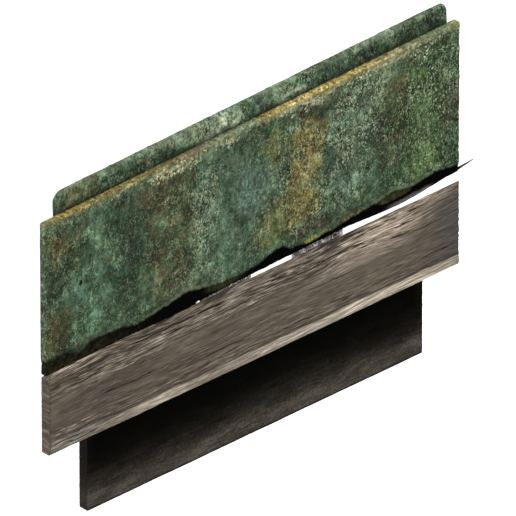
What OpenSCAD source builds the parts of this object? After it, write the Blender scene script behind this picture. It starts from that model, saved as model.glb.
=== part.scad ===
// Straight roof edge unit, stored lying on its back with its face up.
// X runs along the boards, Y up the face as fitted, Z out of the face. Millimetres.
// The origin is the centre of the back of the first bearer.

/* [Panel] */
// length of the sheet-covered panel
panel_length = 1000; // [800:10:1300]
// height of the panel from its straight lower line to its top edge
panel_height = 304; // [240:2:380]
// thickness of the panel, sheet included
panel_thickness = 14; // [10:1:20]
// thickness of the covering sheet
sheet_thickness = 2; // [1:0.5:3]
// how far the panel climbs over its length
panel_rise = 26; // [10:1:40]
// deepest loss along the sheet's lower edge
edge_loss = 26; // [15:1:40]

/* [Splinter] */
// how far the split-off point runs past the panel
splinter_reach = 38; // [20:1:60]
// how far the split part sags below the panel's lower line
splinter_sag = 10; // [4:1:14]
// thickness of the split part
splinter_thickness = 4; // [2:0.5:6]
// height of the split part where it leaves the board
splinter_height = 6; // [3:0.5:10]

/* [Edge roll] */
// thickness of the roll
roll_thickness = 16; // [12:1:26]
// how far the roll stands above the panel
roll_upstand = 38.5; // [30:0.5:55]
// how far the roll laps down behind the panel
roll_lap = 55; // [35:1:75]
// inset of the roll's left end from the panel's
roll_inset_left = 46; // [20:1:90]
// inset of the roll's right end from the panel's
roll_inset_right = 17; // [5:1:60]
// corner radius at the roll's left end
roll_corner_left = 20; // [10:1:26]
// corner radius at the roll's right end
roll_corner_right = 8; // [5:1:20]
// clearance between the panel's back and the roll
roll_gap = 0.1; // [0.05:0.05:1]
// how far both ends of the roll bulge
roll_bulge = 3; // [1:0.5:5]

/* [Face board] */
// height of the face board
face_height = 171; // [140:1:220]
// thickness of the face board
face_thickness = 20; // [14:1:28]
// inset of the board's left end from the panel's
face_inset_left = 21; // [0:1:60]
// how far the board runs past the panel's right end
face_past_right = 13; // [0:1:40]
// height of the panel's lower line above the board, at the left
panel_clear = 5.5; // [1:0.5:20]

/* [Lower board] */
// height of the lower board seen below the face board
lower_shown = 164; // [120:1:200]
// height of the lower board hidden behind the face board
lower_lap = 60; // [30:1:90]
// thickness of the lower board
lower_thickness = 20; // [14:1:28]
// inset of the lower board's left end from the panel's
lower_inset_left = 129; // [60:1:200]
// inset of the lower board's right end from the panel's
lower_inset_right = 58.5; // [20:0.5:150]

/* [Bearers] */
// width of a bearer
bearer_width = 69; // [45:1:90]
// depth of a bearer behind the lower board
bearer_tail = 18; // [12:1:50]
// distance from the panel's left end to the first bearer's centre
bearer_first = 471.5; // [300:0.5:520]
// distance between the bearers
bearer_pitch = 223; // [150:1:330]
// distance of the bearers' feet above the lower board's edge
bearer_foot = 20; // [5:1:60]
// distance of the bearers' heads below the panel's top edge
bearer_head = 10; // [5:1:25]
// clearance between a bearer's shoulders and the boards
shoulder_gap = 1; // [0.5:0.5:3]
// clearance of the notch around the roll
notch_gap = 0.2; // [0.1:0.1:1]

/* [Hidden] */
fine = 12;

// heights up the face, from the lower board's edge
face_y = lower_shown;
face_top_y = face_y + face_height;
lower_top_y = face_y + lower_lap;
panel_y = face_top_y + panel_clear;
slope = panel_rise / panel_length;
function panel_bottom(x) = panel_y + slope * x;
function panel_top(x) = panel_y + panel_height + slope * x;

// levels above the floor
level_lower_back = bearer_tail;
level_lower_front = level_lower_back + lower_thickness;
level_face_front = level_lower_front + face_thickness;
level_front = level_face_front + panel_thickness;

// the unit's origin in panel coordinates
foot_y = bearer_foot;
head_y = panel_top(bearer_first) - bearer_head;
origin = [bearer_first, (foot_y + head_y) / 2, 0];

// turns of the sheet's torn lower edge: share of the length, share of edge_loss
LOSSES = [[0, 0.9], [0.05, 0.95], [0.08, 0.4], [0.11, 0.95], [0.18, 0.8],
          [0.22, 0.4], [0.26, 0.6], [0.34, 1], [0.4, 0.5], [0.46, 0.3],
          [0.51, 0.4], [0.55, 0.85], [0.57, 0.85], [0.59, 0.4], [0.64, 0.1],
          [0.67, 0.25], [0.69, 0.2], [0.75, 0.5], [0.8, 0.6], [0.84, 0.8],
          [0.88, 0.5], [0.94, 0.75], [1, 0.4]];

// share of the length, share of splinter_sag
SAGS = [[0.76, 0], [0.81, 0.75], [0.858, 1], [0.92, 0.7], [1, 0.1]];

function arc(centre, radius, from, to, steps) =
  [for (i = [0 : steps])
     let (a = from + (to - from) * i / steps)
       [centre[0] + radius * cos(a), centre[1] + radius * sin(a)]];

// moves from panel coordinates to the unit's own origin
module in_frame() {
  translate(-origin) children();
}

// a flat layer between two levels above the floor
module layer(low, high) {
  translate([0, 0, low]) linear_extrude(height = high - low) children();
}

// The covering sheet: a tray folded over the top edge and both ends.
module copper_face() {
  color([0.30, 0.42, 0.33])
  in_frame() difference() {
    layer(level_face_front, level_front)
      polygon(concat(
        [for (p = LOSSES)
           [p[0] * panel_length, panel_bottom(p[0] * panel_length) + p[1] * edge_loss]],
        [[panel_length, panel_top(panel_length)], [0, panel_top(0)]]));
    layer(level_face_front - 1, level_front - sheet_thickness)
      polygon([[sheet_thickness, panel_bottom(0) - 5],
               [panel_length - sheet_thickness, panel_bottom(0) - 5],
               [panel_length - sheet_thickness,
                panel_top(panel_length - sheet_thickness) - sheet_thickness],
               [sheet_thickness, panel_top(sheet_thickness) - sheet_thickness]]);
  }
}

// The board inside the sheet, with a splinter split off along its lower edge.
module backing_board() {
  start_x = sheet_thickness;
  end_x = panel_length - sheet_thickness;
  level = level_front - sheet_thickness;
  tip_x = panel_length + splinter_reach;
  color([0.10, 0.09, 0.08])
  in_frame() {
    layer(level_face_front, level)
      polygon([[start_x, panel_bottom(start_x)], [end_x, panel_bottom(end_x)],
               [end_x, panel_top(end_x) - sheet_thickness],
               [start_x, panel_top(start_x) - sheet_thickness]]);
    layer(level - splinter_thickness, level)
      polygon(concat(
        [for (p = SAGS)
           [p[0] * panel_length, panel_bottom(p[0] * panel_length) - p[1] * splinter_sag]],
        [[tip_x, panel_bottom(tip_x) + 0.8 * splinter_height],
         [panel_length, panel_bottom(panel_length) + splinter_height],
         [0.95 * panel_length, panel_bottom(0.95 * panel_length) + splinter_height]]));
  }
}

// Places the roll's own drawing on the panel's slope: its lower left corner is
// at the drawing's origin.
module on_roll_line() {
  translate([roll_inset_left, panel_top(roll_inset_left) - roll_lap,
             level_face_front - roll_gap - roll_thickness])
    rotate([0, 0, atan(slope)]) children();
}

// The sheet-covered batten standing behind the panel, its top edge round.
module edge_roll() {
  long = panel_length - roll_inset_left - roll_inset_right;
  tall = roll_lap + roll_upstand;
  round_r = roll_thickness / 2;
  color([0.33, 0.44, 0.36])
  in_frame() on_roll_line()
    intersection() {
      linear_extrude(height = roll_thickness)
        polygon(concat(
          [[roll_bulge, 0], [long - roll_bulge, 0], [long, 0.62 * tall]],
          arc([long - 0.6 * roll_bulge - roll_corner_right, tall - roll_corner_right],
              roll_corner_right, 0, 90, fine),
          arc([0.6 * roll_bulge + roll_corner_left, tall - roll_corner_left],
              roll_corner_left, 90, 180, fine),
          [[0, 0.62 * tall]]));
      translate([-10, 0, 0]) rotate([90, 0, 90])
        linear_extrude(height = long + 20)
          union() {
            translate([-10, 0]) square([tall - round_r + 10, roll_thickness]);
            translate([tall - round_r, round_r]) circle(r = round_r, $fn = 48);
          }
    }
}

// The weathered board under the panel, its top edge bevelled to the back.
module face_board() {
  left = face_inset_left;
  right = panel_length + face_past_right;
  color([0.40, 0.35, 0.31])
  in_frame() translate([left, 0, 0]) rotate([90, 0, 90])
    linear_extrude(height = right - left)
      polygon([[face_y, level_lower_front], [face_top_y - face_thickness, level_lower_front],
               [face_top_y, level_face_front], [face_y, level_face_front]]);
}

// The dark board set back under the face board.
module lower_board() {
  color([0.16, 0.14, 0.13])
  in_frame() layer(level_lower_back, level_lower_front)
    polygon([[lower_inset_left, 0], [panel_length - lower_inset_right, 0],
             [panel_length - lower_inset_right, lower_top_y], [lower_inset_left, lower_top_y]]);
}

// A rough bearer, notched around both boards and under the roll.
module bearer(centre_x) {
  head = panel_top(centre_x) - bearer_head;
  color([0.42, 0.41, 0.40])
  in_frame() difference() {
    translate([centre_x - bearer_width / 2, 0, 0]) rotate([90, 0, 90])
      linear_extrude(height = bearer_width)
        polygon([[foot_y, 0], [head, 0], [head, level_face_front],
                 [face_top_y + shoulder_gap, level_face_front],
                 [face_top_y + shoulder_gap - face_thickness, level_lower_front],
                 [lower_top_y + shoulder_gap, level_lower_front],
                 [lower_top_y + shoulder_gap, level_lower_back],
                 [foot_y, level_lower_back]]);
    on_roll_line()
      translate([0, -notch_gap, -notch_gap])
        cube([panel_length, roll_lap + roll_upstand,
              roll_thickness + roll_gap + notch_gap + 1]);
  }
}

module bearer_1() { bearer(bearer_first); }

module bearer_2() { bearer(bearer_first + bearer_pitch); }

copper_face();
backing_board();
edge_roll();
face_board();
lower_board();
bearer_1();
bearer_2();
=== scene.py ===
"""A straight roof edge unit, lying on its back: patinated panel, roll, boards and bearers.

Meshes are worked out in millimetres in the frame of the CAD nodes that they stand for.
"""
import functools
import math

import bpy
import numpy as np
from mathutils import Matrix, Vector


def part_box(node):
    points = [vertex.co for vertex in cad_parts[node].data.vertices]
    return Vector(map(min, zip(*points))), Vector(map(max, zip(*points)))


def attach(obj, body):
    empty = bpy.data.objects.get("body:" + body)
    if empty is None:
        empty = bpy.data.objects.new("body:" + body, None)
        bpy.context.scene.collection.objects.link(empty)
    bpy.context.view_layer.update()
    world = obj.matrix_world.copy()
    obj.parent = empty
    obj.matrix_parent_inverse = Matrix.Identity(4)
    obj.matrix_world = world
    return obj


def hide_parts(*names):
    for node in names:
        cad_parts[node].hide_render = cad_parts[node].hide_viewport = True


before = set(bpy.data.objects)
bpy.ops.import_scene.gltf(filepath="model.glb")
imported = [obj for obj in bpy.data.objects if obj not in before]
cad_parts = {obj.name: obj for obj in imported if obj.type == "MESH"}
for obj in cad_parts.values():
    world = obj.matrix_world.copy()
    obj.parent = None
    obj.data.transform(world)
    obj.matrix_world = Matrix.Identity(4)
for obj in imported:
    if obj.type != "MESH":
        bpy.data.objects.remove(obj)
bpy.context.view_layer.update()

MM = 0.001


def node_box(node):
    """Lowest and highest corner of a CAD node, in millimetres."""
    low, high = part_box(node)
    return np.array(low) / MM, np.array(high) / MM


# ---------------------------------------------------------------- driving sizes
SHEET_LOW, SHEET_HIGH = node_box("copper_face")
BACKING_LOW, BACKING_HIGH = node_box("backing_board")
ROLL_LOW, ROLL_HIGH = node_box("edge_roll")
FACE_LOW, FACE_HIGH = node_box("face_board")
LOWER_LOW, LOWER_HIGH = node_box("lower_board")

SHEET_GAUGE = SHEET_HIGH[2] - BACKING_HIGH[2]
PANEL_LEFT = SHEET_LOW[0]
PANEL_LENGTH = SHEET_HIGH[0] - SHEET_LOW[0]
PANEL_RISE = 26.0
SLOPE = PANEL_RISE / PANEL_LENGTH
PANEL_FOOT = BACKING_LOW[1] - SLOPE * SHEET_GAUGE
PANEL_HEIGHT = SHEET_HIGH[1] - PANEL_RISE - PANEL_FOOT
PANEL_BACK = SHEET_LOW[2]
PANEL_FRONT = SHEET_HIGH[2]

ROLL_LAP = 55.0
ROLL_UPSTAND = 38.5
ROLL_INSET = (46.0, 17.0)
ROLL_CORNERS = (20.0, 8.0)
ROLL_BULGE = 0.6

NOTCH_GAP = 0.2
SHOULDER_GAP = 1.0


# ---------------------------------------------------------------- mesh tools
def ripple(x, y, seed):
    """Smooth gradient noise of wavelength 1, about -1 to 1."""
    side = 256
    turn = np.random.default_rng(seed).random((side, side)) * 2 * math.pi
    x, y = np.broadcast_arrays(x, y)
    column, row = np.floor(x).astype(int), np.floor(y).astype(int)
    right, up = x - column, y - row

    def corner(i, j):
        angle = turn[(column + i) % side, (row + j) % side]
        return np.cos(angle) * (right - i) + np.sin(angle) * (up - j)

    ease_x = right**3 * (right * (right * 6 - 15) + 10)
    ease_y = up**3 * (up * (up * 6 - 15) + 10)
    low = corner(0, 0) * (1 - ease_x) + corner(1, 0) * ease_x
    high = corner(0, 1) * (1 - ease_x) + corner(1, 1) * ease_x
    full_range = 1.5
    return full_range * (low * (1 - ease_y) + high * ease_y)


def relief(x, y, size, seed, octaves=4, stretch=1.0, gain=0.55):
    """Layered noise whose largest features are size across, and stretch times longer along x."""
    total, weight = 0.0, 1.0
    for octave in range(octaves):
        total = total + weight * ripple(x / (size * stretch) + 7.3 * octave, y / size, seed + octave)
        weight *= gain
        size = size / 2.1
    return total


def ease(value, start, end):
    """0 before start and 1 after end, smooth between; start may be the larger."""
    share = np.clip((value - start) / (end - start), 0, 1)
    return share * share * (3 - 2 * share)


# where lattice lines lie on a rounded edge, as shares of its radius
EDGE_SHARES = np.array([0.0, 0.12, 0.35, 0.65])


def lines(low, high, step, radius):
    """Lattice lines from low to high, closer together on the rounded edges."""
    inner = np.linspace(low + radius, high - radius, max(2, round((high - low - 2 * radius) / step) + 1))
    edge = radius * EDGE_SHARES
    return np.concatenate([low + edge, inner, (high - edge)[::-1]])


def skin(xs, ys, zs, open_sides=()):
    """The surface of a lattice: x, y and z of its points, and quads that face outwards."""
    shape = (len(xs), len(ys), len(zs))
    ids = np.arange(math.prod(shape)).reshape(shape)
    sides = {
        "left": ids[0].T, "right": ids[-1],
        "bottom": ids[:, 0], "top": ids[:, -1].T,
        "back": ids[:, :, 0].T, "front": ids[:, :, -1],
    }
    quads = np.concatenate([
        np.stack([g[:-1, :-1], g[1:, :-1], g[1:, 1:], g[:-1, 1:]], -1).reshape(-1, 4)
        for side, g in sides.items() if side not in open_sides
    ])
    used, quads = np.unique(quads, return_inverse=True)
    i, j, k = np.unravel_index(used, shape)
    return xs[i], ys[j], zs[k], quads.reshape(-1, 4)


def rounded(points, low, high, radius):
    """Points on a box moved onto the box with rounded edges, and the outward directions there."""
    inner = np.clip(points, np.array(low) + radius, np.array(high) - radius)
    out = points - inner
    length = np.linalg.norm(out, axis=1, keepdims=True)
    out = out / np.maximum(length, 1e-9)
    return inner + out * radius, out


def shell(xs, ys, zs, low, high, radius, open_sides=()):
    """A box with rounded edges on a lattice: its points, the outward directions there, and quads."""
    x, y, z, quads = skin(xs, ys, zs, open_sides)
    points, out = rounded(np.stack([x, y, z], 1), low, high, radius)
    return points, out, quads


def placed(name, data):
    """A new object in the scene."""
    made = bpy.data.objects.new(name, data)
    bpy.context.collection.objects.link(made)
    return made


def board(size, steps, radius):
    """The shell of a board of that size, from its corner at 0, with lattice lines a step apart."""
    lattice = [lines(0, side, step, radius) for side, step in zip(size, steps)]
    return shell(*lattice, (0, 0, 0), size, radius)


def piece(name, points, quads, finish, stands_for, marks=None):
    """A finished piece from points in millimetres, with named values on its points."""
    mesh = bpy.data.meshes.new(name)
    mesh.from_pydata((points * MM).tolist(), [], quads.tolist())
    for mark, values in (marks or {}).items():
        layer = mesh.attributes.new(mark, "FLOAT", "POINT")
        layer.data.foreach_set("value", np.broadcast_to(values, len(points)).astype(np.float32))
    mesh.polygons.foreach_set("use_smooth", [True] * len(mesh.polygons))
    mesh.materials.append(finish)
    mesh.update()
    made = placed(name, mesh)
    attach(made, "root")
    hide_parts(stands_for)
    return made


# ---------------------------------------------------------------- shader tools
def paint(colour):
    """Three display values of 0 to 255 as the shader's linear colour; a socket stays as it is."""
    if not isinstance(colour, tuple):
        return colour
    shares = [value / 255 for value in colour]
    return (*[v / 12.92 if v <= 0.04045 else ((v + 0.055) / 1.055) ** 2.4 for v in shares], 1.0)


def operation(name, swapped=False):
    """A method of Number that does one operation of a Math node, with its values swapped or not."""
    def method(number, *others):
        values = (number, *others)
        return number.maths(name, *(values[::-1] if swapped else values))
    return method


class Number:
    """A number on a node's socket, so that shader maths reads as an expression."""

    def __init__(self, finish, socket):
        self.finish = finish
        self.socket = socket

    def maths(self, name, *values):
        made = self.finish.node("ShaderNodeMath", {"operation": name}, dict(enumerate(values)))
        return Number(self.finish, made.outputs[0])

    __add__ = __radd__ = operation("ADD")
    __mul__ = __rmul__ = operation("MULTIPLY")
    __sub__ = operation("SUBTRACT")
    __rsub__ = operation("SUBTRACT", swapped=True)
    __truediv__ = operation("DIVIDE")
    __rtruediv__ = operation("DIVIDE", swapped=True)
    __pow__ = operation("POWER")
    __rpow__ = operation("POWER", swapped=True)
    __abs__ = operation("ABSOLUTE")
    most = operation("MAXIMUM")
    least = operation("MINIMUM")

    def ease(self, start, end):
        """0 at start and 1 at end, smooth between; start may be the larger."""
        sockets = {"Value": self, "From Min": start, "From Max": end}
        if start > end:
            sockets.update({"From Min": end, "From Max": start, "To Min": 1.0, "To Max": 0.0})
        settings = {"interpolation_type": "SMOOTHSTEP"}
        made = self.finish.node("ShaderNodeMapRange", settings, sockets)
        return Number(self.finish, made.outputs["Result"])


def wire(tree, kind, settings=None, sockets=None):
    """A new node in a tree: its settings, then its inputs, each a value, a socket or a node."""
    made = tree.nodes.new(kind)
    for name, value in (settings or {}).items():
        setattr(made, name, value)
    for key, value in (sockets or {}).items():
        if isinstance(value, Number):
            value = value.socket
        if isinstance(value, bpy.types.Node):
            value = value.outputs[0]
        if isinstance(value, bpy.types.NodeSocket):
            tree.links.new(value, made.inputs[key])
        else:
            made.inputs[key].default_value = value
    return made


class Finish:
    """Builds one material, whose place is the object's own, in millimetres."""

    # how far apart two patterns lie whose seeds differ by 1, as a share of their features
    NOISE_MOVE = 13.7
    CELLS_MOVE = 7.1

    def __init__(self, name):
        self.material = bpy.data.materials.new(name)
        self.material.use_nodes = True
        self.tree = self.material.node_tree
        self.tree.nodes.clear()
        coordinates = self.node("ShaderNodeTexCoord").outputs["Object"]
        scale = {"operation": "SCALE"}
        self.place = self.node("ShaderNodeVectorMath", scale, {0: coordinates, "Scale": 1 / MM})
        axes = self.node("ShaderNodeSeparateXYZ", None, {0: self.place}).outputs
        self.x, self.y, self.z = (Number(self, axis) for axis in axes)
        self.colour = None

    def node(self, kind, settings=None, sockets=None):
        return wire(self.tree, kind, settings, sockets)

    def mark(self, name):
        """A value that the piece's mesh carries on its points."""
        return Number(self, self.node("ShaderNodeAttribute", {"attribute_name": name}).outputs["Fac"])

    def bend(self, y):
        """Moves the place of the patterns made from here on to another height."""
        self.place = self.node("ShaderNodeCombineXYZ", None, {0: self.x, 1: y, 2: self.z})

    def scaled(self, size, move):
        """The place, shrunk so that size millimetres are the unit of a pattern."""
        sizes = size if isinstance(size, tuple) else (size,) * 3
        sockets = {"Vector": self.place, "Scale": [1 / each for each in sizes], "Location": (move,) * 3}
        return self.node("ShaderNodeMapping", None, sockets)

    def noise(self, size, seed, detail=4.0, roughness=0.6, warp=0.0):
        """Noise from 0 to 1 with features of size millimetres: one number, or one for each axis."""
        sockets = {
            "Vector": self.scaled(size, seed * self.NOISE_MOVE), "Scale": 1.0,
            "Detail": detail, "Roughness": roughness, "Distortion": warp,
        }
        return Number(self, self.node("ShaderNodeTexNoise", None, sockets).outputs["Fac"])

    def drift(self, reach, *pattern):
        """Noise about 0 that runs up to half of reach to each side."""
        return (self.noise(*pattern) - 0.5) * reach

    def threads(self, size, seed, width, warp=0.0):
        """Thin winding lines, 1 along their middle."""
        return abs(self.noise(size, seed, 3, 0.6, warp) - 0.5).ease(width, width * 0.2)

    def cells(self, size, seed):
        """Distance to the nearest of scattered points, size millimetres apart."""
        sockets = {"Vector": self.scaled(size, seed * self.CELLS_MOVE), "Scale": 1.0}
        return Number(self, self.node("ShaderNodeTexVoronoi", None, sockets).outputs["Distance"])

    def dapple(self, colour, tone, strength, level=1.0):
        """The colour at a level, lighter where tone is above 0.5 and darker where it is below."""
        lightest = 1.25
        lightness = ((tone - 0.5) * strength).least(lightest)
        share = math.e ** lightness * level
        # blue falls faster than red and green, so that the dark parts are warm
        blue_fall, blue_rise = 1.22, 1.05
        blue = math.e ** (lightness * blue_fall).least(lightness * blue_rise) * level
        shares = self.node("ShaderNodeCombineXYZ", None, {0: share, 1: share, 2: blue})
        if isinstance(colour, tuple):
            colour = paint(colour)[:3]
        return self.node("ShaderNodeVectorMath", {"operation": "MULTIPLY"}, {0: colour, 1: shares})

    def mix(self, first, second, share):
        """The first colour with a share of the second over it."""
        sockets = {0: share, 6: paint(first), 7: paint(second)}
        return self.node("ShaderNodeMix", {"data_type": "RGBA"}, sockets).outputs[2]

    def coat(self, colour, share):
        """Lays a share of a colour over the finish's own colour."""
        self.colour = self.mix(self.colour, colour, share)

    def spread(self, value, stops):
        """A colour for each value, from (value, colour) stops."""
        made = self.node("ShaderNodeValToRGB", None, {0: value})
        ramp = made.color_ramp
        while len(ramp.elements) < len(stops):
            ramp.elements.new(0.5)
        for element, (position, colour) in zip(ramp.elements, stops):
            element.position = position
            element.color = paint(colour)
        return made

    def surface(self, roughness, height, depth, specular, metallic=0.0):
        """Joins the shader: depth is how far height, from 0 to 1, stands up in millimetres."""
        bump = self.node("ShaderNodeBump", None, {"Height": height, "Distance": depth * MM, "Strength": 1.0})
        shader = self.node("ShaderNodeBsdfPrincipled", None, {
            "Base Color": self.colour, "Roughness": roughness, "Metallic": metallic,
            "Specular IOR Level": specular, "Normal": bump,
        })
        self.node("ShaderNodeOutputMaterial", None, {"Surface": shader})
        return self.material


# ---------------------------------------------------------------- finishes
def strongest(masks):
    """The largest of several masks, each given with a list that holds its strength or nothing."""
    weighed = [mask * strength[0] if strength else mask for mask, strength in masks]
    return functools.reduce(Number.most, weighed)


def blotches(x, y, ovals, softness=0.8):
    """1 inside ovals and fading out around them: centre, half sizes, and a strength if it isn't 1."""
    masks = []
    for at_x, at_y, half_x, half_y, *strength in ovals:
        across = (x - at_x) / half_x
        along = (y - at_y) / half_y
        masks.append(((across * across + along * along).ease(1 + softness, 1 - softness), strength))
    return strongest(masks)


def humps(value, places):
    """1 near each place and 0 half a width away: centre, half width, and a strength if it isn't 1."""
    return strongest([
        (abs(value - centre).ease(half, half * 0.35), strength) for centre, half, *strength in places
    ])


def clouded(f, x, y, seed, clouds):
    """Lays clouds of other tints over the finish, each broken up into clusters."""
    for number, (tint, strength, ovals) in enumerate(clouds):
        mask = blotches(x, y, ovals)
        clusters = f.noise(25, seed + number, 5, 0.62).ease(0.42, 0.58)
        f.coat(tint, mask * (clusters * 0.62 + 0.38) * strength)


class Patina:
    """Mottled green corrosion, laid on a finish, and the patterns that other marks follow."""

    def __init__(self, f, x, y, seed, clouds, busy, calm, pit_zone, level, bold=1.0):
        fleck = f.noise((6.2, 9.6, 7.6), seed, 5, 0.72)
        grit = f.noise((2.8, 4.2, 3.4), seed + 1, 2, 0.6)
        self.mottle = f.noise((21, 27, 24), seed + 2, 5, 0.7)
        cloud = f.noise(66, seed + 3, 3, 0.6)
        clumps = f.noise(42, seed + 4, 5, 0.7).ease(0.43, 0.58)
        film = f.noise((34, 42, 38), seed + 20, 6, 0.7).ease(0.47, 0.53)
        scabs = f.noise((12, 16, 14), seed + 21, 5, 0.72).ease(0.54, 0.59)
        hue = f.noise(24, seed + 5, 4, 0.6)
        f.colour = f.spread(hue * 0.6 + self.mottle * 0.4, [
            (0.36, (44, 74, 54)), (0.46, (60, 92, 66)), (0.55, (79, 107, 77)), (0.66, (106, 124, 91)),
        ])
        clouded(f, x, y, seed + 10, clouds)
        f.coat((90, 78, 42), f.noise(18, seed + 6, 5, 0.64).ease(0.54, 0.62) * 0.42)
        f.coat((34, 86, 54), f.noise(20, seed + 7, 5, 0.64).ease(0.53, 0.61) * 0.45)

        self.flecks = fleck * 0.68 + grit * 0.32
        sharp = (self.flecks - 0.5) * (5.6 + busy * 3.0) * (1 - calm * 0.4) * (clumps * 1.15 + 0.25)
        broad = ((self.mottle - 0.5) * 3.0 + (cloud - 0.5) * 2.6 + (film - 0.5) * 0.34) * bold
        f.colour = f.dapple(f.colour, sharp + broad + 0.5, 1.0, level)
        f.coat((146, 158, 120), (sharp + broad).ease(0.35, 1.1) * 0.22)
        f.coat((112, 128, 98), scabs * self.flecks.ease(0.40, 0.56) * (busy * 0.30 + 0.10))
        blots = self.mottle.ease(0.46, 0.39) * (fleck - 0.5 + clumps * 0.3).ease(0.10, -0.06)
        f.coat((24, 31, 21), blots * (busy * 0.35 + 0.30))

        threads = f.threads((8, 14, 11), seed + 8, 0.06, 1.0) * (grit + fleck * 0.6).ease(0.72, 0.90)
        f.coat((178, 190, 156), threads * (busy * 0.6 + 0.3) * (clumps * 0.6 + 0.5))
        pits = f.cells((9, 13, 11), seed + 9).ease(0.36, 0.14) * pit_zone.least(1.0)
        f.coat((18, 23, 13), pits * 0.8)
        self.height = fleck * 0.7 + grit * 0.3 + self.mottle * 0.5 + film * 0.2 - pits * 0.5


# clouds on the panel: tint, strength, ovals as (centre, half sizes) from its lower left corner
PANEL_CLOUDS = [
    ((108, 144, 116), 0.62, [(118, 262, 34, 44), (88, 150, 52, 62), (130, 120, 40, 110)]),
    ((46, 60, 42), 0.80, [(212, 160, 60, 170), (20, 170, 40, 130), (50, 30, 60, 30)]),
    ((98, 88, 54), 0.78, [(300, 160, 60, 170), (28, 250, 46, 44), (22, 70, 40, 60), (845, 210, 50, 60)]),
    ((138, 150, 124), 0.62, [(378, 170, 26, 74), (350, 40, 60, 22)]),
    ((104, 130, 108), 0.74, [(450, 170, 80, 170), (508, 150, 50, 70), (728, 140, 60, 130)]),
    ((142, 142, 82), 0.72, [(552, 226, 32, 36), (558, 74, 42, 42), (530, 70, 30, 30)]),
    ((158, 137, 64), 0.88, [
        (634, 220, 38, 46), (618, 98, 50, 40), (628, 160, 40, 34), (600, 130, 24, 60),
    ]),
    ((40, 47, 35), 0.88, [
        (665, 264, 44, 19), (640, 42, 54, 20), (681, 152, 20, 38), (792, 168, 30, 24),
        (205, 160, 26, 30),
    ]),
    ((136, 142, 112), 0.56, [(720, 258, 44, 30), (782, 250, 44, 32), (722, 160, 28, 34)]),
    ((37, 66, 28), 0.92, [(958, 240, 76, 90), (872, 130, 56, 100), (966, 90, 66, 90), (70, 210, 32, 42)]),
    ((62, 48, 34), 0.85, [(614, 284, 32, 17), (308, 262, 22, 12), (306, 60, 20, 12)]),
    ((92, 122, 60), 0.55, [(905, 84, 34, 50), (898, 250, 28, 34), (930, 150, 30, 60)]),
    ((96, 78, 58), 0.55, [(975, 170, 30, 60), (830, 120, 40, 40), (250, 250, 40, 40)]),
]

# smaller and sharper stains over the clouds: tint, strength, ovals in the same places
PANEL_STAINS = [
    ((54, 41, 30), 0.80, [(622, 276, 34, 13), (640, 36, 46, 13)]),
    ((38, 52, 38), 0.70, [(668, 262, 24, 20), (790, 154, 24, 18), (217, 160, 20, 28)]),
    ((56, 74, 62), 0.80, [(683, 154, 16, 34)]),
    ((140, 126, 78), 0.55, [(617, 228, 18, 16), (608, 98, 28, 13), (640, 170, 12, 22)]),
    ((98, 78, 42), 0.62, [(644, 196, 16, 18), (628, 68, 24, 12), (600, 150, 12, 20)]),
    ((112, 114, 72), 0.40, [(537, 238, 20, 20), (537, 84, 18, 26)]),
    ((90, 110, 98), 0.40, [(500, 166, 40, 50)]),
    ((84, 106, 60), 0.34, [(900, 170, 20, 40), (893, 46, 16, 24)]),
]

# colours of the worn fold, from the left end of the panel to its right end
FOLD_TINTS = [
    (0.00, (100, 100, 65)), (0.07, (155, 135, 75)), (0.12, (150, 135, 80)), (0.20, (135, 125, 75)),
    (0.27, (140, 130, 85)), (0.36, (110, 100, 80)), (0.44, (110, 125, 100)), (0.50, (115, 135, 105)),
    (0.53, (150, 135, 80)), (0.60, (200, 180, 115)), (0.70, (190, 170, 105)), (0.80, (165, 150, 100)),
    (0.86, (160, 155, 115)), (0.90, (120, 135, 105)), (0.97, (100, 120, 90)), (1.00, (135, 120, 70)),
]
# how far the worn fold comes down the face: (distance from the left end, depth)
FOLD_REACH = [
    (0, 5), (60, 5), (80, 9), (120, 1), (170, 10), (210, 3), (240, 3), (300, 12), (350, 15),
    (385, 6), (430, 12), (480, 4), (560, 14), (600, 6), (665, 20), (705, 8), (740, 12), (770, 8),
    (840, 15), (900, 7), (1000, 8),
]


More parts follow.
